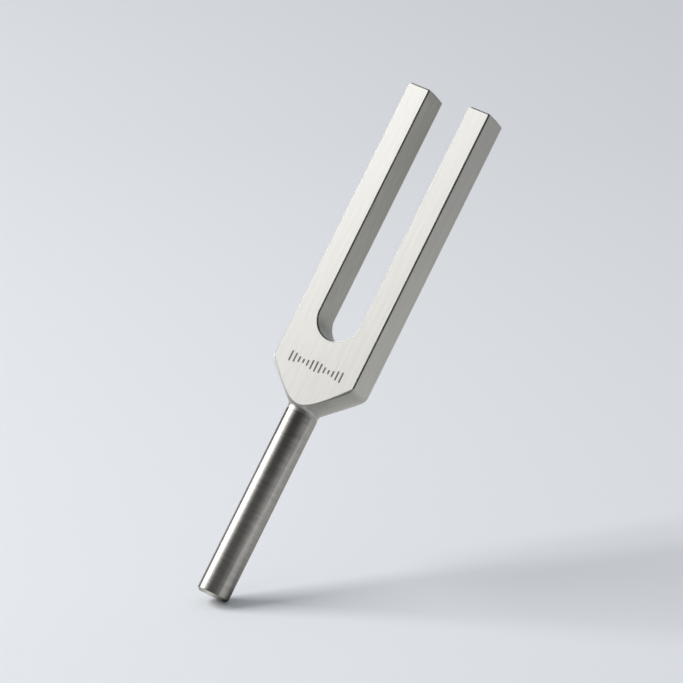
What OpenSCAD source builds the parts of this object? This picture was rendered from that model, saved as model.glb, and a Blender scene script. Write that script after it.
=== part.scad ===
// Tuning fork: a head cut from flat bar, whose two tines ring, on a round stem.
// The fork stands on +Z with its origin at the centre of the stem's foot.
// X runs across the two tines, and the marked front face looks along -Y.

/* [Head] */
// Height of the whole fork, from the foot to the tips of the tines
fork_len = 189.5; // [184:0.5:196]
// Width of the head across both tines
head_w = 34; // [32:0.5:35.5]
// Thickness of the bar that the head is cut from
head_t = 12.7; // [12:0.1:14]
// Width of the slot between the tines
slot_w = 16.5; // [15:0.5:18]
// Depth of the slot, from the tips to its round bottom
slot_depth = 93.2; // [90:0.1:96]
// Slope of the turned cone below the head, measured from level
taper_angle = 43.5; // [41:0.5:46]
// Chamfer along the edges of the bar
edge_chamfer = 0.5; // [0.2:0.1:0.6]
// Radius of the tips' shallow crown, which falls away from the front edge to the back
crown_r = 95; // [60:5:120]

/* [Stem] */
// Diameter of the stem
stem_d = 11.6; // [10:0.1:12]
// Length of the stem, from the foot to its seam with the head
stem_len = 69.5; // [66:0.5:71]
// Chamfer round the foot
foot_chamfer = 1; // [0.4:0.1:1.5]
// Hollow radius that blends the head's collar into its cone
collar_fillet = 2; // [1.5:0.5:3]

/* [Stud] */
// Thread diameter of the headless stud that joins the stem to the head
stud_d = 6; // [5:1:6]
// Length of the stud, half of it in each part
stud_len = 20; // [16:1:20]
// Width across the flats of the stud's hexagon socket
socket_af = 3; // [2.5:0.5:3]

/* [Tine flexure] */
// Share of a tine's free length, up from the slot's round bottom, at which it seems to pivot
pivot_share = 0.24; // [0.22:0.01:0.27]
// Radius about the pivot at which the tine's body parts from the yoke's
seam_r = 18; // [14:1:18]
// Gap between the two bodies at that radius
seam_gap = 0.1; // [0.08:0.01:0.2]

/* [Mark] */
// Width of the engraved row of sound bars
mark_w = 22; // [16:1:24]
// Height of the tallest bars
mark_h = 4; // [2:0.2:4.4]
// Number of bars
mark_bars = 13; // [7:2:15]
// Width of each bar
mark_line = 0.7; // [0.4:0.1:0.8]
// Depth of the bars
mark_depth = 0.2; // [0.1:0.05:0.3]
// Height of the bars' middle above the foot
mark_z = 86; // [85.5:0.5:88.5]

/* [Hidden] */

$fn = 64;
over = 1;                                   // how far a cutter runs past the face that it cuts

tine_w = (head_w - slot_w) / 2;
tine_x = (slot_w + tine_w) / 2;             // middle of the right tine
slot_z = fork_len - slot_depth + slot_w / 2;    // centre of the slot's round bottom
pivot_z = slot_z + pivot_share * (fork_len - slot_z);
seam_z = pivot_z - seam_r;                  // lowest point of each seam
yoke_top = pivot_z;                         // the yoke's blank ends above both seams

stem_r = stem_d / 2;
seam_break = 0.2;                           // chamfer on both rims of the stem's seam
collar_h = 0.8;                             // straight collar under the hollow radius
fillet_z = stem_len + collar_h;
head_reach = norm([head_w / 2, head_t / 2]) + over;     // radius that clears the bar's corners

hole_r = stud_d / 2 + 0.05;
hole_end_gap = 0.5;                         // room past each end of the stud
hole_depth = stud_len / 2 + hole_end_gap;
drill_tip = hole_r / tan(59);               // height of the drill's cone at a blind hole's end
hole_mouth = 0.4;                           // countersink at each hole's mouth
stud_chamfer = 0.7;
socket_depth = 2.5;

mark_low = 0.3;                             // how far the lowest bars rise towards the tallest

// Outline of a rectangle with its four corners cut off
module chamfered_rect(w, t, c) {
    polygon([
        [-w / 2 + c, -t / 2], [w / 2 - c, -t / 2], [w / 2, -t / 2 + c], [w / 2, t / 2 - c],
        [w / 2 - c, t / 2], [-w / 2 + c, t / 2], [-w / 2, t / 2 - c], [-w / 2, -t / 2 + c]
    ]);
}

// Flat bar standing on end, with its long edges chamfered
module bar(w, t, z0, z1) {
    translate([0, 0, z0]) linear_extrude(z1 - z0) chamfered_rect(w, t, edge_chamfer);
}

// Turned outline of the head's lower end: collar, hollow radius and cone
module turned_outline() {
    blend_point = [
        stem_r + collar_fillet * (1 - sin(taper_angle)),
        fillet_z + collar_fillet * cos(taper_angle)
    ];
    rim_z = blend_point.y + (head_reach - blend_point.x) * tan(taper_angle);
    difference() {
        polygon([
            [0, stem_len], [stem_r - seam_break, stem_len], [stem_r, stem_len + seam_break],
            [stem_r, fillet_z], [stem_r + collar_fillet, fillet_z], blend_point,
            [head_reach, rim_z], [head_reach, yoke_top + over], [0, yoke_top + over]
        ]);
        translate([stem_r + collar_fillet, fillet_z]) circle(r = collar_fillet);
    }
}

// Half section of the slot's cutter, across the bar, with both mouths chamfered
module slot_section() {
    mouth = slot_w / 2 + edge_chamfer + over;
    polygon([
        [0, -head_t / 2 - over], [mouth, -head_t / 2 - over],
        [slot_w / 2, -head_t / 2 + edge_chamfer], [slot_w / 2, head_t / 2 - edge_chamfer],
        [mouth, head_t / 2 + over], [0, head_t / 2 + over]
    ]);
}

// Slot between the tines, with a round bottom
module slot_cut() {
    translate([0, 0, slot_z]) rotate([90, 0, 0]) rotate_extrude() slot_section();
    translate([0, 0, slot_z]) linear_extrude(yoke_top - slot_z + over) {
        slot_section();
        mirror([1, 0]) slot_section();
    }
}

// Front view of what lies above one tine's seam, at a radius about its pivot
module above_seam(r) {
    translate([0, pivot_z]) {
        intersection() {
            circle(r = r);
            translate([0, -r / 2]) square([tine_w + 2 * over, r], center = true);
        }
        translate([-tine_w / 2 - over, -over]) square([tine_w + 2 * over, fork_len]);
    }
}

// Blind tapped hole with its mouth at the origin, running up
module blind_hole() {
    translate([0, 0, -over]) cylinder(h = hole_depth + over, r = hole_r);
    translate([0, 0, hole_depth]) cylinder(h = drill_tip, r1 = hole_r, r2 = 0);
    translate([0, 0, -over])
        cylinder(h = hole_mouth + over, r1 = hole_r + hole_mouth + over, r2 = hole_r);
}

// Height of the bar at x: tall in the middle and at both ends, low between them
function bar_height(x) =
    mark_line + (mark_h - mark_line) * max(mark_low, abs(cos(360 * x / (mark_w - mark_line))));

// Outline of one bar with round ends
module mark_bar(height) {
    square([mark_line, height - mark_line], center = true);
    for (end = [-1, 1]) translate([0, end * (height - mark_line) / 2]) circle(d = mark_line);
}

// Engraved row of sound bars, cut into the front face
module mark_cut() {
    translate([0, -head_t / 2 + mark_depth, mark_z])
        rotate([90, 0, 0]) linear_extrude(mark_depth + over)
            for (i = [0 : mark_bars - 1]) {
                x = (mark_w - mark_line) * (i / (mark_bars - 1) - 0.5);
                translate([x, 0]) mark_bar(bar_height(x));
            }
}

// Solid lower half of the head, with the roots of both tines
module yoke() {
    color("gainsboro") difference() {
        intersection() {
            bar(head_w, head_t, stem_len - over, yoke_top + over);
            rotate_extrude() turned_outline();
        }
        slot_cut();
        for (side = [-1, 1])
            translate([side * tine_x, 0, 0]) rotate([90, 0, 0])
                linear_extrude(head_t + 2 * over, center = true) above_seam(seam_r);
        translate([0, 0, stem_len]) blind_hole();
        mark_cut();
    }
}

// Blank that ends in the tips' crown, whose highest line is the bar's front edge
module crowned_blank() {
    rotate([90, 0, 90]) linear_extrude(head_w, center = true)
        translate([-head_t / 2, fork_len - crown_r]) {
            circle(r = crown_r, $fn = 180);
            translate([-crown_r, -fork_len]) square([2 * crown_r, fork_len]);
        }
}

// Free part of one tine, which swings about its pivot
module tine(side) {
    translate([side * tine_x, 0, 0]) intersection() {
        bar(tine_w, head_t, seam_z, fork_len + over);
        crowned_blank();
        rotate([90, 0, 0])
            linear_extrude(head_t + 2 * over, center = true) above_seam(seam_r - seam_gap);
    }
}

module tine_left() {
    color("gainsboro") tine(-1);
}

module tine_right() {
    color("gainsboro") tine(1);
}

// Round stem with a chamfered foot
module stem() {
    color("gray") difference() {
        rotate_extrude() polygon([
            [0, 0], [stem_r - foot_chamfer, 0], [stem_r, foot_chamfer],
            [stem_r, stem_len - seam_break], [stem_r - seam_break, stem_len], [0, stem_len]
        ]);
        translate([0, 0, stem_len]) mirror([0, 0, 1]) blind_hole();
    }
}

// Headless stud, driven by a hexagon socket in its upper end
module stem_stud() {
    top = stem_len + stud_len / 2;
    foot = stem_len - stud_len / 2;
    color("dimgray") difference() {
        rotate_extrude() polygon([
            [0, foot], [stud_d / 2 - stud_chamfer, foot], [stud_d / 2, foot + stud_chamfer],
            [stud_d / 2, top - stud_chamfer], [stud_d / 2 - stud_chamfer, top], [0, top]
        ]);
        translate([0, 0, top - socket_depth])
            cylinder(h = socket_depth + over, d = socket_af / cos(30), $fn = 6);
    }
}

yoke();
tine_left();
tine_right();
stem();
stem_stud();
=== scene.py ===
"""Looks of the tuning fork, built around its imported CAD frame.

Everything is in metres in the part's own frame: X runs across the two tines, -Y is the marked front
and Z runs up the stem, with the origin at the centre of the foot. The fork leans in the picture
because the camera and the floor are turned about it, so no part of the fork is ever moved.
"""
import math

import bmesh
import bpy
import numpy as np
from mathutils import Matrix, Vector


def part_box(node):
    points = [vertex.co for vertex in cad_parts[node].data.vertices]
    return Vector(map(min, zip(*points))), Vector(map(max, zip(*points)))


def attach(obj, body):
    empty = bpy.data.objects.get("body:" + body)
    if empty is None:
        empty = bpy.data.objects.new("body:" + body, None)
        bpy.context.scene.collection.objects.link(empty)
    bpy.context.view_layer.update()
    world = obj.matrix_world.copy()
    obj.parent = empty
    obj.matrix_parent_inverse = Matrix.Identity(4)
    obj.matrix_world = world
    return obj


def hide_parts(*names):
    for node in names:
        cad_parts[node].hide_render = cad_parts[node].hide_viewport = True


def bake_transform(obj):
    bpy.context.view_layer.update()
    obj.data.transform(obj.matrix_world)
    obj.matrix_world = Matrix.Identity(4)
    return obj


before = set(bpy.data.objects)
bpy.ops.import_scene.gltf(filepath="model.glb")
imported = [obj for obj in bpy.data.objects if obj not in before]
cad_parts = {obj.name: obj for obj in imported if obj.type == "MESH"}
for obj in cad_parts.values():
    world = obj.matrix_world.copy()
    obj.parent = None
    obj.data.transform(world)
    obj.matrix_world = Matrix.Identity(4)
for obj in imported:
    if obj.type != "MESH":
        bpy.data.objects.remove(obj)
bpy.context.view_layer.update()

MM = 0.001

# ---------------------------------------------------------------- sizes from the frame
yoke_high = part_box("yoke")[1]
tine_low, tine_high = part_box("tine_right")
stem_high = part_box("stem")[1]
stud_low, stud_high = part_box("stem_stud")

HALF_W = yoke_high.x                    # half of the head's width
HALF_T = yoke_high.y                    # half of the bar's thickness
SLOT_R = tine_low.x                     # half of the slot's width
TINE_X = (tine_low.x + tine_high.x) / 2
TINE_HALF = (tine_high.x - tine_low.x) / 2
TIP_Z = tine_high.z
SPLIT_Z = tine_low.z                    # where the yoke's skin ends and the tines' skins begin
STEM_R = stem_high.x
SEAM_Z = stem_high.z                    # where the head's collar meets the stem
STUD_R = stud_high.x

# ---------------------------------------------------------------- shapes the boxes don't give
SLOT_DEPTH = 93.2 * MM
SLOT_Z = TIP_Z - SLOT_DEPTH + SLOT_R    # centre of the slot's round bottom
CROWN_R = 95 * MM                       # crown on the tips, highest along the front edge
TAPER = math.radians(43.5)              # slope of the head's turned cone, from level
COLLAR_H = 0.8 * MM
COLLAR_FILLET = 2 * MM
SEAM_BREAK = 0.06 * MM                  # fine chamfer on both rims of the seam
FOOT_CHAMFER = 1 * MM
HOLE_GAP = 0.05 * MM                    # all round the stud
HOLE_END_GAP = 0.5 * MM                 # past each end of the stud
HOLE_R = STUD_R + HOLE_GAP
HOLE_DEPTH = (stud_high.z - stud_low.z) / 2 + HOLE_END_GAP
HOLE_MOUTH = 0.4 * MM                   # countersink at each hole's mouth
DRILL_HALF_ANGLE = math.radians(59)
DRILL_TIP = HOLE_R / math.tan(DRILL_HALF_ANGLE)     # height of the cone at each hole's end
OVER = 1 * MM                           # how far a cutter runs past the face that it cuts

EDGE_ROUND = 0.5 * MM                   # rounding along the bar's long edges
TIP_ROUND = 0.5 * MM                    # rounding round the top of each tine
TIP_CORNER = 1.8 * MM                   # larger rounding of its upper left corner, seen from the front
SHOULDER_ROUND = 4 * MM                 # softer rounding where the cone meets the bar's sides
FOOT_ROUND = 0.3 * MM                   # rounding on both edges of the foot's chamfer
ROUND_STEPS = 5                         # steps round each rounded edge
HOLLOW_STEPS = 8                        # steps round the hollow under the cone
SLOT_STEPS = 48                         # steps round the slot's bottom
TURN_STEP = math.radians(2)             # turn between points across the head's back and front
TINE_ROWS = 30                          # rows of faces up each tine, so that it can bend

MARK_WIDTH = 22 * MM                    # engraved row of sound bars
MARK_HEIGHT = 4 * MM
MARK_BARS = 13
MARK_LINE = 0.7 * MM                    # width of each bar
MARK_LOW = 0.3                          # how far the lowest bars rise towards the tallest
MARK_Z = 86 * MM                        # height of the bars' middle
MARK_DEPTH = 0.2 * MM
MARK_FILL_DEPTH = 0.05 * MM             # how far the dark fill lies under the face
MARK_FILL_GAP = 0.01 * MM               # gap between the fill and the walls of its bar
MARK_END_STEPS = 8                      # steps round each bar's end

THREAD_PITCH = 1 * MM
THREAD_DEPTH = 0.61 * THREAD_PITCH
THREAD_RISE = 2.4                       # steepness of a flank, where 1 takes half the pitch to rise
THREAD_ROOT = 0.5                       # how much of that rise the flat root takes away
THREAD_ROWS = 8                         # rows of faces to a pitch
THREAD_SIDES = 48                       # faces round the stud
STUD_CHAMFER = 0.7 * MM
SOCKET_HALF = 1.5 * MM                  # half of the hexagon socket's width across its flats
SOCKET_DEPTH = 2.5 * MM

# Material slots of the head's skins. TURNED covers the cone, the bore and the crowns of the tips. The
# steels of the edge slot and of the milled slot are darkened as painted shade.
STEEL, EDGE, TURNED, MILLED_AND_SHADED = 0, 1, 2, 3


# ---------------------------------------------------------------- mesh helpers
def object_from(bm, name):
    """Makes an object of a bmesh, all smooth, with its faces looking outwards."""
    bmesh.ops.recalc_face_normals(bm, faces=bm.faces)
    for face in bm.faces:
        face.smooth = True
    mesh = bpy.data.meshes.new(name)
    bm.to_mesh(mesh)
    bm.free()
    obj = bpy.data.objects.new(name, mesh)
    bpy.context.scene.collection.objects.link(obj)
    return obj


def bake_modifiers(obj):
    """Turns an object's modifiers into its mesh."""
    bpy.context.view_layer.update()
    evaluated = obj.evaluated_get(bpy.context.evaluated_depsgraph_get())
    mesh = bpy.data.meshes.new_from_object(evaluated)
    obj.modifiers.clear()
    old = obj.data
    obj.data = mesh
    bpy.data.meshes.remove(old)
    mesh.name = obj.name


def finish_shading(obj, sharp=35):
    """Keeps flat faces flat and rounded edges round, with hard lines only at sharp edges."""
    bm = bmesh.new()
    bm.from_mesh(obj.data)
    for edge in bm.edges:
        if len(edge.link_faces) == 2:
            edge.smooth = edge.calc_face_angle() < math.radians(sharp)
    bm.to_mesh(obj.data)
    bm.free()
    normals = obj.modifiers.new("normals", "WEIGHTED_NORMAL")
    normals.mode = "FACE_AREA"
    normals.weight = 80
    normals.keep_sharp = True
    bake_modifiers(obj)


def quarter_turn():
    """Sine and cosine of even steps through a right angle."""
    turns = [math.pi / 2 * i / ROUND_STEPS for i in range(ROUND_STEPS + 1)]
    return [(math.sin(t), math.cos(t)) for t in turns]


def rounded(corners, steps=4):
    """Outline through corners of (x, y, radius), with an arc in place of each rounded corner."""
    points = [Vector(corners[0][:2])]
    for before, (x, y, radius), after in zip(corners, corners[1:], corners[2:]):
        corner = Vector((x, y))
        to_before = (Vector(before[:2]) - corner).normalized()
        to_after = (Vector(after[:2]) - corner).normalized()
        if not radius:
            points.append(corner)
            continue
        half_angle = to_before.angle(to_after) / 2
        centre = corner + (to_before + to_after).normalized() * radius / math.sin(half_angle)
        start = corner + to_before * radius / math.tan(half_angle) - centre
        end = corner + to_after * radius / math.tan(half_angle) - centre
        for i in range(steps + 1):
            points.append(centre + start.slerp(end, i / steps) * radius)
    points.append(Vector(corners[-1][:2]))
    return [(p.x, p.y) for p in points]


def strip(bm, first, second, material=STEEL):
    """Quads between two rows of vertices."""
    for (a, b), (c, d) in zip(zip(first, first[1:]), zip(second, second[1:])):
        bm.faces.new((a, b, d, c)).material_index = material


def lathe(rows, count=144):
    """Closed turned skin: rows are (radius, height) from one end of the axis to the other."""
    bm = bmesh.new()
    angles = [2 * math.pi * k / count for k in range(count)]
    low = bm.verts.new((0, 0, rows[0][1]))
    high = bm.verts.new((0, 0, rows[-1][1]))
    rings = [[bm.verts.new((r * math.cos(a), r * math.sin(a), z)) for a in angles]
             for r, z in rows[1:-1]]
    for ring in rings:
        ring.append(ring[0])
    for k in range(count):
        bm.faces.new((low, rings[0][k + 1], rings[0][k]))
        bm.faces.new((high, rings[-1][k], rings[-1][k + 1]))
    for below, above in zip(rings, rings[1:]):
        strip(bm, below, above)
    return bm


# ---------------------------------------------------------------- materials
def new_material(name):
    """A new material, with its nodes, its links and its shader."""
    material = bpy.data.materials.new(name)
    material.use_nodes = True
    nodes = material.node_tree.nodes
    shader = nodes["Principled BSDF"]
    return material, nodes, material.node_tree.links, shader


def stretched_noise(nodes, links, scale, detail=3.0):
    """Noise over the object's own coordinates, stretched by a scale for each axis, per metre."""
    place = nodes.new("ShaderNodeTexCoord")
    mapping = nodes.new("ShaderNodeMapping")
    mapping.inputs["Scale"].default_value = scale
    noise = nodes.new("ShaderNodeTexNoise")
    noise.inputs["Scale"].default_value = 1.0
    noise.inputs["Detail"].default_value = detail
    links.new(place.outputs["Object"], mapping.inputs["Vector"])
    links.new(mapping.outputs["Vector"], noise.inputs["Vector"])
    return noise.outputs["Fac"]


def to_range(nodes, links, value, low, high, start=0.3, end=0.7):
    """Maps what lies between a start and an end, by default most of a noise's values, to a range."""
    mapped = nodes.new("ShaderNodeMapRange")
    mapped.inputs["From Min"].default_value = start
    mapped.inputs["From Max"].default_value = end
    mapped.inputs["To Min"].default_value = low
    mapped.inputs["To Max"].default_value = high
    links.new(value, mapped.inputs["Value"])
    return mapped.outputs["Result"]


def combined(nodes, links, operation, a, b):
    """Sum or product of two values."""
    node = nodes.new("ShaderNodeMath")
    node.operation = operation
    links.new(a, node.inputs[0])
    links.new(b, node.inputs[1])
    return node.outputs["Value"]


def tinted(nodes, links, colour, value):
    """A colour times a value."""
    scaled = nodes.new("ShaderNodeVectorMath")
    scaled.operation = "SCALE"
    scaled.inputs[0].default_value = colour
    links.new(value, scaled.inputs["Scale"])
    return scaled.outputs["Vector"]


def steel(name, colour, roughness, spread, grain, patches, bump, uneven=0.04, anisotropy=0.0, rim=1.0):
    """Worked steel: fine grain in one direction, broad uneven patches and a little relief.

    spread is how far the roughness strays and uneven how far the shade does. grain and patches are
    noise scales per metre, bump is the relief's height in metres, anisotropy draws highlights out
    across a grain that runs along Z, and rim is how much of a grazing reflection is left."""
    material, nodes, links, shader = new_material(name)
    fine = stretched_noise(nodes, links, grain)
    broad = stretched_noise(nodes, links, patches, detail=4.0)
    rough = combined(nodes, links, "ADD",
                     to_range(nodes, links, fine, roughness - spread, roughness + spread),
                     to_range(nodes, links, broad, -spread / 2, spread / 2))
    shade = combined(nodes, links, "MULTIPLY",
                     to_range(nodes, links, fine, 0.95, 1.05),
                     to_range(nodes, links, broad, 1 - uneven, 1 + uneven))
    links.new(rough, shader.inputs["Roughness"])
    links.new(tinted(nodes, links, colour, shade), shader.inputs["Base Color"])
    shader.inputs["Metallic"].default_value = 1.0
    shader.inputs["Specular Tint"].default_value = (rim, rim, rim, 1)
    relief = nodes.new("ShaderNodeBump")
    relief.inputs["Strength"].default_value = 1.0
    relief.inputs["Distance"].default_value = bump
    links.new(fine, relief.inputs["Height"])
    links.new(relief.outputs["Normal"], shader.inputs["Normal"])
    if anisotropy:
        tangent = nodes.new("ShaderNodeTangent")
        tangent.direction_type = "RADIAL"
        tangent.axis = "Z"
        links.new(tangent.outputs["Tangent"], shader.inputs["Tangent"])
        shader.inputs["Anisotropic"].default_value = anisotropy
    return material


def mark_fill_material():
    """Dark, matt deposit of an etched line, slightly uneven."""
    material, nodes, links, shader = new_material("etched_mark")
    speckle = stretched_noise(nodes, links, (9000, 9000, 9000))
    links.new(tinted(nodes, links, (0.13, 0.122, 0.112), to_range(nodes, links, speckle, 0.8, 1.2)),
              shader.inputs["Base Color"])
    links.new(to_range(nodes, links, speckle, 0.5, 0.7), shader.inputs["Roughness"])
    shader.inputs["Metallic"].default_value = 0.3
    return material


brushed = steel("brushed_head", (0.865, 0.859, 0.843), roughness=0.56, spread=0.05,
                grain=(3600, 3600, 60), patches=(900, 900, 55), bump=0.002 * MM,
                uneven=0.035, anisotropy=0.8)
# Painted shade: the edges' steel is far darker than the head's, so the rounded edges show as dark lines
# with dimmer highlights; only its low roughness is a burnished finish.
burnished_painted_dark = steel("burnished_edge_painted_dark", (0.26, 0.256, 0.25), roughness=0.15, spread=0.04,
                  grain=(3000, 3000, 200), patches=(200, 200, 60), bump=0.001 * MM)
# Painted shade: the steel of the slot and of the tines' inner sides is darker than the head's, for the
# shade between the tines, on a real milled finish.
milled_and_shaded = steel("milled_slot_painted_shade", (0.545, 0.545, 0.525), roughness=0.50, spread=0.05,
               grain=(3600, 3600, 90), patches=(600, 600, 130), bump=0.002 * MM,
               uneven=0.08, anisotropy=0.6)
turned_cone = steel("turned_cone", (0.52, 0.515, 0.505), roughness=0.33, spread=0.04,
                    grain=(300, 300, 6000), patches=(300, 300, 300), bump=0.0015 * MM, uneven=0.06)
turned_stem = steel("polished_stem", (0.52, 0.51, 0.495), roughness=0.16, spread=0.03,
                    grain=(300, 300, 2800), patches=(150, 150, 900), bump=0.0006 * MM,
                    uneven=0.11, rim=0.45)
blackened = steel("blackened_stud", (0.09, 0.09, 0.095), roughness=0.42, spread=0.06,
                  grain=(2500, 2500, 2500), patches=(300, 300, 300), bump=0.002 * MM)
etched = mark_fill_material()


# ---------------------------------------------------------------- head
def cone_height(radius):
    """Height of the head's cone at a radius."""
    hollow_end = STEM_R + COLLAR_FILLET * (1 - math.sin(TAPER))
    hollow_top = SEAM_Z + COLLAR_H + COLLAR_FILLET * math.cos(TAPER)
    return hollow_top + (radius - hollow_end) * math.tan(TAPER)


def turned_rows(reach, radius):
    """Profile of the head in one direction: blind hole, rim, hollow radius, cone and shoulder.

    The shoulder is an arc that ends upright at the bar's surface, a given reach from the axis."""
    rows = [(HOLE_R, SEAM_Z + HOLE_DEPTH), (HOLE_R, SEAM_Z + HOLE_MOUTH), (HOLE_R + HOLE_MOUTH, SEAM_Z),
            (STEM_R - SEAM_BREAK, SEAM_Z), (STEM_R, SEAM_Z + SEAM_BREAK)]
    end = math.pi / 2 - TAPER
    hollow_x, hollow_z = STEM_R + COLLAR_FILLET, SEAM_Z + COLLAR_H
    shoulder_z = cone_height(reach) + radius * math.tan(end / 2)
    apart = (hollow_x - reach + radius) / (COLLAR_FILLET + radius)
    if apart > math.cos(end):           # the shoulder starts in the hollow, below the cone
        end = math.acos(apart)
        shoulder_z = hollow_z + (COLLAR_FILLET + radius) * math.sin(end)
    for i in range(HOLLOW_STEPS + 1):
        turn = end * i / HOLLOW_STEPS
        rows.append((hollow_x - COLLAR_FILLET * math.cos(turn), hollow_z + COLLAR_FILLET * math.sin(turn)))
    for i in range(ROUND_STEPS + 1):
        turn = end * (1 - i / ROUND_STEPS)
        rows.append((reach - radius * (1 - math.cos(turn)), shoulder_z - radius * math.sin(turn)))
    return rows


def side_run(half_w, inset=0.0, spans=16):
    """Cross-section of one side of a bar, from its front face round both edges to its back face."""
    corner = [(half_w - EDGE_ROUND + (EDGE_ROUND - inset) * sine,
               HALF_T - EDGE_ROUND + (EDGE_ROUND - inset) * cosine) for sine, cosine in quarter_turn()]
    flat = HALF_T - EDGE_ROUND
    middle = [(half_w - inset, flat * (2 * i / spans - 1)) for i in range(1, spans)]
    return [(x, -y) for x, y in corner] + middle + corner[::-1]


def back_run():
    """Points across the head's back face at even turns about the axis, without its ends."""
    reach = math.atan2(HALF_W - EDGE_ROUND, HALF_T)
    spans = round(2 * reach / TURN_STEP)
    return [(HALF_T * math.tan(reach * (1 - 2 * i / spans)), HALF_T) for i in range(1, spans)]


def slot_row(inset, y):
    """Outline of the slot, set back into the metal by an inset, at one depth of the bar."""
    radius = SLOT_R + inset
    turns = [math.pi * i / SLOT_STEPS for i in range(SLOT_STEPS + 1)]
    return ([(radius, y, SPLIT_Z)]
            + [(radius * math.cos(t), y, SLOT_Z - radius * math.sin(t)) for t in turns]
            + [(-radius, y, SPLIT_Z)])


def turned_columns(bm, outline):
    """Skin of the turned lower end, in columns that end at the points of the bar's outline."""
    columns = []
    for x, y in outline:
        reach = math.hypot(x, y)
        # The shoulder is crisp at the middle of the front and back, and soft towards the sides.
        radius = min(SHOULDER_ROUND, EDGE_ROUND * (reach / HALF_T) ** 2)
        columns.append([bm.verts.new((x / reach * r, y / reach * r, z))
                        for r, z in turned_rows(reach, radius)])
    bore_tip = bm.verts.new((0, 0, SEAM_Z + HOLE_DEPTH + DRILL_TIP))
    for here, there in zip(columns, columns[1:] + columns[:1]):
        bm.faces.new((bore_tip, here[0], there[0])).material_index = TURNED
        strip(bm, here, there, TURNED)
    return columns


def tine_root(bm, below, side, sign):
    """Outer side of the bar, from its shoulder up to where a tine's skin begins."""
    above = [bm.verts.new((sign * x, sign * y, SPLIT_Z)) for x, y in side]
    for i in range(len(side) - 1):
        at_corner = not ROUND_STEPS <= i < len(side) - 1 - ROUND_STEPS
        strip(bm, below[i:i + 2], above[i:i + 2], EDGE if at_corner else STEEL)
    return above


def slot_walls(bm):
    """Skin of the slot with both its mouths rounded, in rows from the front to the back."""
    fall = [(EDGE_ROUND * (1 - sine), EDGE_ROUND * (1 - cosine)) for sine, cosine in quarter_turn()]
    sections = [(inset, -HALF_T + depth) for inset, depth in fall]
    sections += [(inset, HALF_T - depth) for inset, depth in fall[::-1]]
    rows = [[bm.verts.new(point) for point in slot_row(*section)] for section in sections]
    for i in range(len(rows) - 1):
        strip(bm, rows[i], rows[i + 1], MILLED_AND_SHADED if i == ROUND_STEPS else EDGE)
    return rows


def yoke_bmesh():
    """Turned lower end that grows into flat bar with the slot's round bottom and both tines' roots."""
    bm = bmesh.new()
    side = side_run(HALF_W)
    outline = side + back_run()
    outline += [(-x, -y) for x, y in outline]
    rim = [column[-1] for column in turned_columns(bm, outline)]
    half = len(rim) // 2
    last = len(side) - 1
    right = tine_root(bm, rim[:last + 1], side, 1)
    left = tine_root(bm, rim[half:half + last + 1], side, -1)
    slot = slot_walls(bm)
    back_rim = rim[last:half + 1]
    front_rim = rim[half + last:] + rim[:1]
    bm.faces.new(back_rim + [left[0]] + slot[-1][::-1] + [right[-1]])
    bm.faces.new(front_rim + [right[0]] + slot[0] + [left[-1]])
    bm.faces.new([row[0] for row in slot] + right[::-1])
    bm.faces.new([row[-1] for row in slot[::-1]] + left[::-1])
    return bm


def bar_outlines(line):
    """Outlines across and up the face of the mark's bars: tall in the middle and at both ends."""
    outlines = []
    for i in range(MARK_BARS):
        share = i / (MARK_BARS - 1) - 0.5
        centre = (MARK_WIDTH - MARK_LINE) * share
        rise = (MARK_HEIGHT - MARK_LINE) * max(MARK_LOW, abs(math.cos(2 * math.pi * share))) / 2
        arc = [math.pi * k / MARK_END_STEPS for k in range(MARK_END_STEPS + 1)]
        ends = [(turn, rise) for turn in arc] + [(math.pi + turn, -rise) for turn in arc]
        outlines.append([(centre + line / 2 * math.cos(turn), MARK_Z + end + line / 2 * math.sin(turn))
                         for turn, end in ends])
    return outlines


def prisms(name, outlines, outer_y, inner_y):
    """Solids of some outlines seen from the front, between two depths."""
    bm = bmesh.new()
    for outline in outlines:
        outer = [bm.verts.new((x, outer_y, z)) for x, z in outline]
        inner = [bm.verts.new((x, inner_y, z)) for x, z in outline]
        bm.faces.new(outer)
        bm.faces.new(inner[::-1])
        strip(bm, outer + outer[:1], inner + inner[:1])
    return object_from(bm, name)


def cut_away(obj, outlines, inner_y):
    """Cuts outlines seen from the front out of a skin, from its front face to a depth."""
    cutter = prisms("cutter", outlines, -HALF_T - OVER, inner_y)
    cut = obj.modifiers.new("cut", "BOOLEAN")
    cut.operation = "DIFFERENCE"
    cut.solver = "EXACT"
    cut.object = cutter
    bake_modifiers(obj)
    bpy.data.objects.remove(cutter)


def head_materials(obj):
    """Gives a skin of the head its materials, in the order of their slots."""
    for material in (brushed, burnished_painted_dark, turned_cone, milled_and_shaded):
        obj.data.materials.append(material)


def make_yoke():
    """Skin of the yoke, with its mark engraved."""
    obj = object_from(yoke_bmesh(), "yoke_skin")
    head_materials(obj)
    cut_away(obj, bar_outlines(MARK_LINE), -HALF_T + MARK_DEPTH)
    finish_shading(obj)
    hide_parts("yoke")
    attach(obj, "yoke_and_stem")


def make_mark_fill():
    """Dark fill in the bars of the mark."""
    obj = prisms("mark_fill", bar_outlines(MARK_LINE - 2 * MARK_FILL_GAP),
                 -HALF_T + MARK_FILL_DEPTH, -HALF_T + MARK_DEPTH)
    obj.data.materials.append(etched)
    finish_shading(obj)
    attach(obj, "yoke_and_stem")


# ---------------------------------------------------------------- tines
def crown(y):
    """Height of a tine's tip at one depth of the bar."""
    return TIP_Z - CROWN_R + math.sqrt(CROWN_R ** 2 - (y + HALF_T) ** 2)


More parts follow.
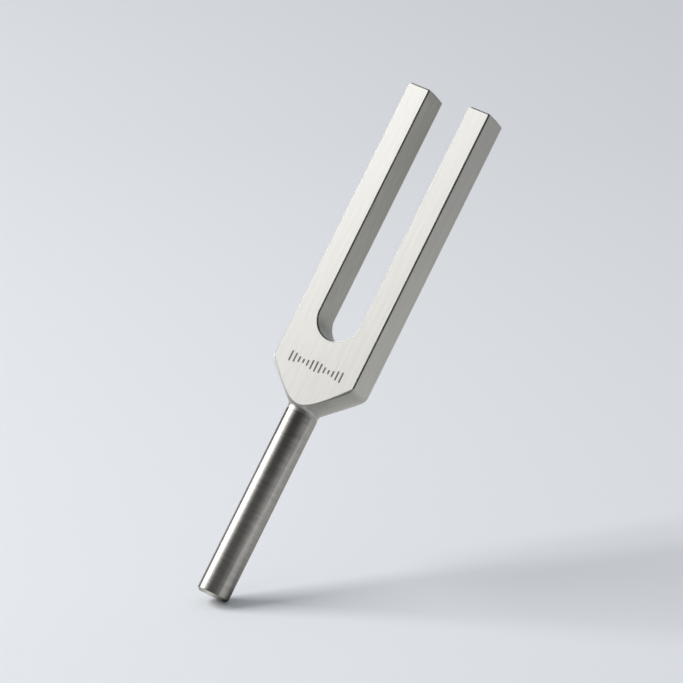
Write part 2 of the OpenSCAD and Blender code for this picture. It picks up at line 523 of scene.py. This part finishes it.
def tine_bmesh(centre_x):
    """One tine: rings of a rounded section up to a rounded rim and the crown inside it."""
    bm = bmesh.new()

    def ring(inset, height):
        side = side_run(TINE_HALF, inset)
        outline = side + [(-x, -y) for x, y in side]
        verts = [bm.verts.new((centre_x + x, y, height(y))) for x, y in outline]
        return verts + verts[:1]

    rings = [ring(0, lambda y, k=k: SPLIT_Z + (crown(y) - TIP_ROUND - SPLIT_Z) * k / TINE_ROWS)
             for k in range(TINE_ROWS + 1)]
    rings += [ring(TIP_ROUND * (1 - cosine), lambda y, lift=sine: crown(y) - TIP_ROUND * (1 - lift))
              for sine, cosine in quarter_turn()[1:]]
    for below, above in zip(rings, rings[1:]):
        strip(bm, below, above)
    count = len(rings[0]) - 1
    half = count // 2
    bm.faces.new(rings[0][:count][::-1])
    right, left = rings[-1][:half], rings[-1][half:count]
    strip(bm, right, left[::-1], TURNED)
    right_side = range(ROUND_STEPS, half - 1 - ROUND_STEPS)
    left_side = range(half + ROUND_STEPS, count - 1 - ROUND_STEPS)
    inner, outer = (right_side, left_side) if centre_x < 0 else (left_side, right_side)
    back_and_front = (half - 1, count - 1)
    bm.faces.ensure_lookup_table()
    for k in range(len(rings) - 1):
        for i in range(count):
            material = EDGE
            if i in inner:
                material = MILLED_AND_SHADED
            elif i in outer or (i in back_and_front and k < TINE_ROWS):
                material = STEEL
            bm.faces[k * count + i].material_index = material
    return bm


def corner_outline(centre_x):
    """What the rounding of a tine's upper left corner takes away, seen from the front."""
    beyond = centre_x - TINE_HALF - OVER
    arc_x = centre_x - TINE_HALF + TIP_CORNER
    arc_z = TIP_Z - TIP_CORNER
    arc = [(arc_x - TIP_CORNER * sine, arc_z + TIP_CORNER * cosine) for sine, cosine in quarter_turn()]
    return arc + [(beyond, arc_z), (beyond, TIP_Z + OVER), (arc_x, TIP_Z + OVER)]


def make_tine(name, side):
    """Skin of one tine, from its root at the end of the yoke's skin."""
    obj = object_from(tine_bmesh(side * TINE_X), name + "_skin")
    head_materials(obj)
    cut_away(obj, [corner_outline(side * TINE_X)], HALF_T + OVER)
    finish_shading(obj)
    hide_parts(name)
    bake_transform(obj)


# ---------------------------------------------------------------- stem and stud
def make_stem():
    """Skin of the stem, with its chamfered foot and its blind hole."""
    rows = rounded([(0, 0, 0), (STEM_R - FOOT_CHAMFER, 0, FOOT_ROUND), (STEM_R, FOOT_CHAMFER, FOOT_ROUND),
                    (STEM_R, SEAM_Z - SEAM_BREAK, 0), (STEM_R - SEAM_BREAK, SEAM_Z, 0),
                    (HOLE_R + HOLE_MOUTH, SEAM_Z, 0), (HOLE_R, SEAM_Z - HOLE_MOUTH, 0),
                    (HOLE_R, SEAM_Z - HOLE_DEPTH, 0), (0, SEAM_Z - HOLE_DEPTH - DRILL_TIP, 0)])
    obj = object_from(lathe(rows), "stem_skin")
    obj.data.materials.append(turned_stem)
    finish_shading(obj)
    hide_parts("stem")
    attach(obj, "yoke_and_stem")


def thread_radius(angle, z):
    """Radius of the stud's skin: a helical thread, chamfered at both ends."""
    phase = (z / THREAD_PITCH - angle / (2 * math.pi)) % 1
    ridge = min(1, max(0, THREAD_RISE * (1 - abs(2 * phase - 1)) - THREAD_ROOT))
    from_end = min(z - stud_low.z, stud_high.z - z)
    root = STUD_R - THREAD_DEPTH
    return min(root + (STUD_R - root) * ridge, STUD_R - STUD_CHAMFER + from_end)


def socket_radius(angle):
    """Radius of the hexagon socket."""
    return SOCKET_HALF / math.cos((angle % (math.pi / 3)) - math.pi / 6)


def make_stud():
    """Threaded stud in one skin, with a hexagon socket in its upper end."""
    low, high = stud_low.z, stud_high.z
    angles = [2 * math.pi * k / THREAD_SIDES for k in range(THREAD_SIDES)]
    count = round((high - low) / THREAD_PITCH * THREAD_ROWS)
    heights = [low + (high - low) * row / count for row in range(count + 1)]
    rings = [[(thread_radius(a, z), z) for a in angles] for z in heights]
    rings.append([(socket_radius(a), high) for a in angles])
    rings.append([(socket_radius(a), high - SOCKET_DEPTH) for a in angles])
    bm = bmesh.new()
    rings = [[bm.verts.new((r * math.cos(a), r * math.sin(a), z)) for a, (r, z) in zip(angles, ring)]
             for ring in rings]
    for below, above in zip(rings, rings[1:]):
        strip(bm, below + below[:1], above + above[:1])
    bm.faces.new(rings[0][::-1])
    bm.faces.new(rings[-1])
    obj = object_from(bm, "threaded_stud")
    obj.data.materials.append(blackened)
    finish_shading(obj)
    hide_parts("stem_stud")
    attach(obj, "yoke_and_stem")


# ---------------------------------------------------------------- camera
VIEW_AZIMUTH = math.radians(28.6)       # about the fork's own axis, from straight in front
VIEW_ELEVATION = math.radians(-4.4)
VIEW_ROLL = math.radians(26.4)          # how far the fork leans to the right in the picture
VIEW_DISTANCE = 1.499
VIEW_CENTRE = Vector((1.0, 0.25, 98)) * MM
LENS = 230                              # focal length in millimetres

TO_CAMERA = Vector((math.sin(VIEW_AZIMUTH) * math.cos(VIEW_ELEVATION),
                    -math.cos(VIEW_AZIMUTH) * math.cos(VIEW_ELEVATION),
                    math.sin(VIEW_ELEVATION)))
LEVEL_RIGHT = Vector((math.cos(VIEW_AZIMUTH), math.sin(VIEW_AZIMUTH), 0))
LEVEL_UP = TO_CAMERA.cross(LEVEL_RIGHT)
PICTURE_RIGHT = LEVEL_RIGHT * math.cos(VIEW_ROLL) + LEVEL_UP * math.sin(VIEW_ROLL)
PICTURE_UP = LEVEL_UP * math.cos(VIEW_ROLL) - LEVEL_RIGHT * math.sin(VIEW_ROLL)


def axes_matrix(x, y, z, place):
    """Placement of an object whose own axes point in three given directions."""
    matrix = Matrix((x, y, z)).transposed().to_4x4()
    matrix.translation = place
    return matrix


def make_camera():
    """Camera at the picture's viewing angle."""
    camera = bpy.data.objects.new("camera", bpy.data.cameras.new("camera"))
    bpy.context.scene.collection.objects.link(camera)
    camera.data.lens = LENS
    camera.data.sensor_width = 36
    camera.matrix_world = axes_matrix(PICTURE_RIGHT, PICTURE_UP, TO_CAMERA,
                                      VIEW_CENTRE + TO_CAMERA * VIEW_DISTANCE)
    bpy.context.scene.camera = camera


# ---------------------------------------------------------------- studio
FLOOR_HALF = 4.0                        # half of the floor's width
FLOOR_COLOUR = (0.725, 0.743, 0.775)
# Painted shade on the floor: its colour darkens from the foot to far behind it, in place of light that
# falls off.
FLOOR_NEAR = 0.985                      # share of that colour up to the foot
FLOOR_FADED = 0.893                     # share of it far behind the foot
FLOOR_FADE_END = 0.6                    # how far behind the foot the fading ends
# Painted reflection of the floor: how bright it looks in the steel, by the distance in metres to the right
# of the foot, with a painted contact shadow just right of it, and the painted light added by the distance
# behind it.
FLOOR_TO_THE_RIGHT = {-0.1: 0.35, -0.03: 0.45, -0.008: 0.95, 0.0005: 0.12, 0.003: 0.15, 0.01: 0.5,
                      0.07: 0.56, 0.17: 0.70, 0.33: 0.34, 0.6: 0.07}
FLOOR_BEHIND = {0.05: 0, 0.22: 0.41, 0.45: 0.13, 0.8: 0}
FLOOR_STEEL_TINT = (1.0, 0.995, 0.96)
SHADE_START = -0.1                      # start of the metre that both rows of stops lie in
FLOOR_PITCH = math.radians(18)          # how far the camera looks down on the floor
FLOOR_UP = PICTURE_UP * math.cos(FLOOR_PITCH) + TO_CAMERA * math.sin(FLOOR_PITCH)
FLOOR_AWAY = PICTURE_UP * math.sin(FLOOR_PITCH) - TO_CAMERA * math.cos(FLOOR_PITCH)


def studio(right, up, near):
    """A direction given as the picture's right, its up and towards the camera."""
    return PICTURE_RIGHT * right + PICTURE_UP * up + TO_CAMERA * near


def shade_along(nodes, links, distance, stops):
    """A grey that follows a distance through a few stops."""
    ramp = nodes.new("ShaderNodeValToRGB")
    elements = ramp.color_ramp.elements
    while len(elements) < len(stops):
        elements.new(1)
    for element, (reach, grey) in zip(elements, stops.items()):
        element.position = reach - SHADE_START
        element.color = (grey, grey, grey, 1)
    along = to_range(nodes, links, distance, 0, 1, SHADE_START, SHADE_START + 1)
    links.new(along, ramp.inputs["Fac"])
    return ramp.outputs["Color"]


def painted_floor_reflection(nodes, links, axes):
    """Painted reflection of the floor, with its painted shadow and light, that the steel sees in place of
    the floor.
    """
    grey = combined(nodes, links, "ADD",
                    shade_along(nodes, links, axes.outputs["X"], FLOOR_TO_THE_RIGHT),
                    shade_along(nodes, links, axes.outputs["Y"], FLOOR_BEHIND))
    return tinted(nodes, links, FLOOR_STEEL_TINT, grey)


def floor_material():
    """Pale, matt floor that is clear from below, with painted shade far behind the foot and a painted
    reflection for the steel.
    """
    material, nodes, links, shader = new_material("pale_floor")
    shader.inputs["Roughness"].default_value = 0.9
    shader.inputs["Specular IOR Level"].default_value = 0.0
    place = nodes.new("ShaderNodeTexCoord")
    axes = nodes.new("ShaderNodeSeparateXYZ")
    links.new(place.outputs["Object"], axes.inputs["Vector"])
    # Painted shade: the floor's colour darkens behind the foot in place of light that falls off.
    painted_falloff = to_range(nodes, links, axes.outputs["Y"], FLOOR_NEAR, FLOOR_FADED, 0, FLOOR_FADE_END)
    ray = nodes.new("ShaderNodeLightPath")
    tint = nodes.new("ShaderNodeMix")
    tint.data_type = "RGBA"
    links.new(tinted(nodes, links, FLOOR_COLOUR, painted_falloff), tint.inputs["A"])
    links.new(painted_floor_reflection(nodes, links, axes), tint.inputs["B"])
    links.new(ray.outputs["Is Glossy Ray"], tint.inputs["Factor"])
    links.new(tint.outputs["Result"], shader.inputs["Base Color"])
    geometry = nodes.new("ShaderNodeNewGeometry")
    clear = nodes.new("ShaderNodeBsdfTransparent")
    mix = nodes.new("ShaderNodeMixShader")
    links.new(geometry.outputs["Backfacing"], mix.inputs["Fac"])
    links.new(shader.outputs["BSDF"], mix.inputs[1])
    links.new(clear.outputs["BSDF"], mix.inputs[2])
    links.new(mix.outputs["Shader"], nodes["Material Output"].inputs["Surface"])
    return material


def make_floor():
    """Floor through the lowest point of the foot's rim."""
    level = Vector((FLOOR_UP.x, FLOOR_UP.y, 0))
    contact = -level.normalized() * (STEM_R - FOOT_CHAMFER + FOOT_ROUND / 2)
    bm = bmesh.new()
    bmesh.ops.create_grid(bm, x_segments=1, y_segments=1, size=FLOOR_HALF)
    obj = object_from(bm, "floor")
    obj.matrix_world = axes_matrix(PICTURE_RIGHT, FLOOR_AWAY, FLOOR_UP, contact)
    obj.data.materials.append(floor_material())


def make_world(colour, strength):
    """Even light from all round."""
    world = bpy.data.worlds.new("soft_room")
    world.use_nodes = True
    background = world.node_tree.nodes["Background"]
    background.inputs["Color"].default_value = (*colour, 1)
    background.inputs["Strength"].default_value = strength
    bpy.context.scene.world = world


def make_panel_light(name, direction, distance, size, power, colour):
    """Soft panel light that faces the fork's middle."""
    data = bpy.data.lights.new(name, "AREA")
    data.shape = "RECTANGLE"
    data.size, data.size_y = size
    data.energy = power
    data.color = colour
    light = bpy.data.objects.new(name, data)
    bpy.context.scene.collection.objects.link(light)
    place = VIEW_CENTRE + direction.normalized() * distance
    across = Vector((0, 0, 1)).cross(direction).normalized()
    up = direction.normalized().cross(across)
    light.matrix_world = axes_matrix(across, up, direction.normalized(), place)
    light.visible_camera = False
    light.visible_glossy = False


# Rows of the screen from its bottom to the middle of its dark roof: height, radius, strength and
# haze from the floor below.
SURROUND_ROWS = [(-0.5, 0.55, 0.05, 0.12), (-0.03, 0.55, 0.2, 0.1), (0.03, 0.55, 1.05, 0.085),
                 (0.077, 0.55, 1.1, 0.046), (0.092, 0.55, 0.66, 0), (0.115, 0.55, 0.62, 0),
                 (0.128, 0.55, 0.95, 0), (0.16, 0.55, 1.03, 0), (0.7, 0.55, 1.5, 0),
                 (0.71, 0.5, 0, 0.14), (0.75, 0.02, 0, 0.14)]
# Brightness round the screen from left to right, by the turn from the camera in degrees.
SURROUND_GLOW = {-150: 0.40, -121: 0.40, -114: 3.6, -108: 6.6, -87: 6.6, -81: 2.6, -73: 1.6,
                 -66: 1.0, -58: 0.5, -50: 0.25, -43: 0.13, -36: 0.08, -28: 0.06, -2: 0.065,
                 11: 0.12, 24: 0.19, 38: 0.29, 50: 0.42, 66: 0.46}
SURROUND_STEPS = 120                    # faces round the screen


def make_surround():
    """Curved screen round the fork's axis that only reflections see."""
    turns, glows = zip(*SURROUND_GLOW.items())
    bm = bmesh.new()
    glow_layer = bm.verts.layers.float.new("glow")
    sides = []
    for i in range(SURROUND_STEPS + 1):
        turn = turns[0] + (turns[-1] - turns[0]) * i / SURROUND_STEPS
        azimuth = VIEW_AZIMUTH + math.radians(turn)
        side = [bm.verts.new((radius * math.sin(azimuth), -radius * math.cos(azimuth), z))
                for z, radius, strength, haze in SURROUND_ROWS]
        for vert, (z, radius, strength, haze) in zip(side, SURROUND_ROWS):
            vert[glow_layer] = float(np.interp(turn, turns, glows)) * strength + haze
        sides.append(side)
    for left, right in zip(sides, sides[1:]):
        strip(bm, left, right)
    obj = object_from(bm, "surround")
    material, nodes, links, _ = new_material("surround")
    glow = nodes.new("ShaderNodeAttribute")
    glow.attribute_name = "glow"
    emission = nodes.new("ShaderNodeEmission")
    emission.inputs["Color"].default_value = (1, 0.99, 0.97, 1)
    links.new(glow.outputs["Fac"], emission.inputs["Strength"])
    links.new(emission.outputs["Emission"], nodes["Material Output"].inputs["Surface"])
    obj.data.materials.append(material)
    obj.visible_camera = False
    obj.visible_diffuse = False
    obj.visible_shadow = False
    obj.visible_transmission = False


make_camera()
make_yoke()
make_mark_fill()
make_tine("tine_left", -1)
make_tine("tine_right", 1)
make_stem()
make_stud()
make_floor()
make_world(colour=(0.93, 0.96, 1.0), strength=0.505)
make_panel_light("key", studio(right=-0.72, up=0.60, near=0.07), distance=2.0, size=(1.25, 1.25),
                 power=40.5, colour=(1, 0.99, 0.97))
make_surround()
bpy.context.scene.view_settings.view_transform = "Standard"
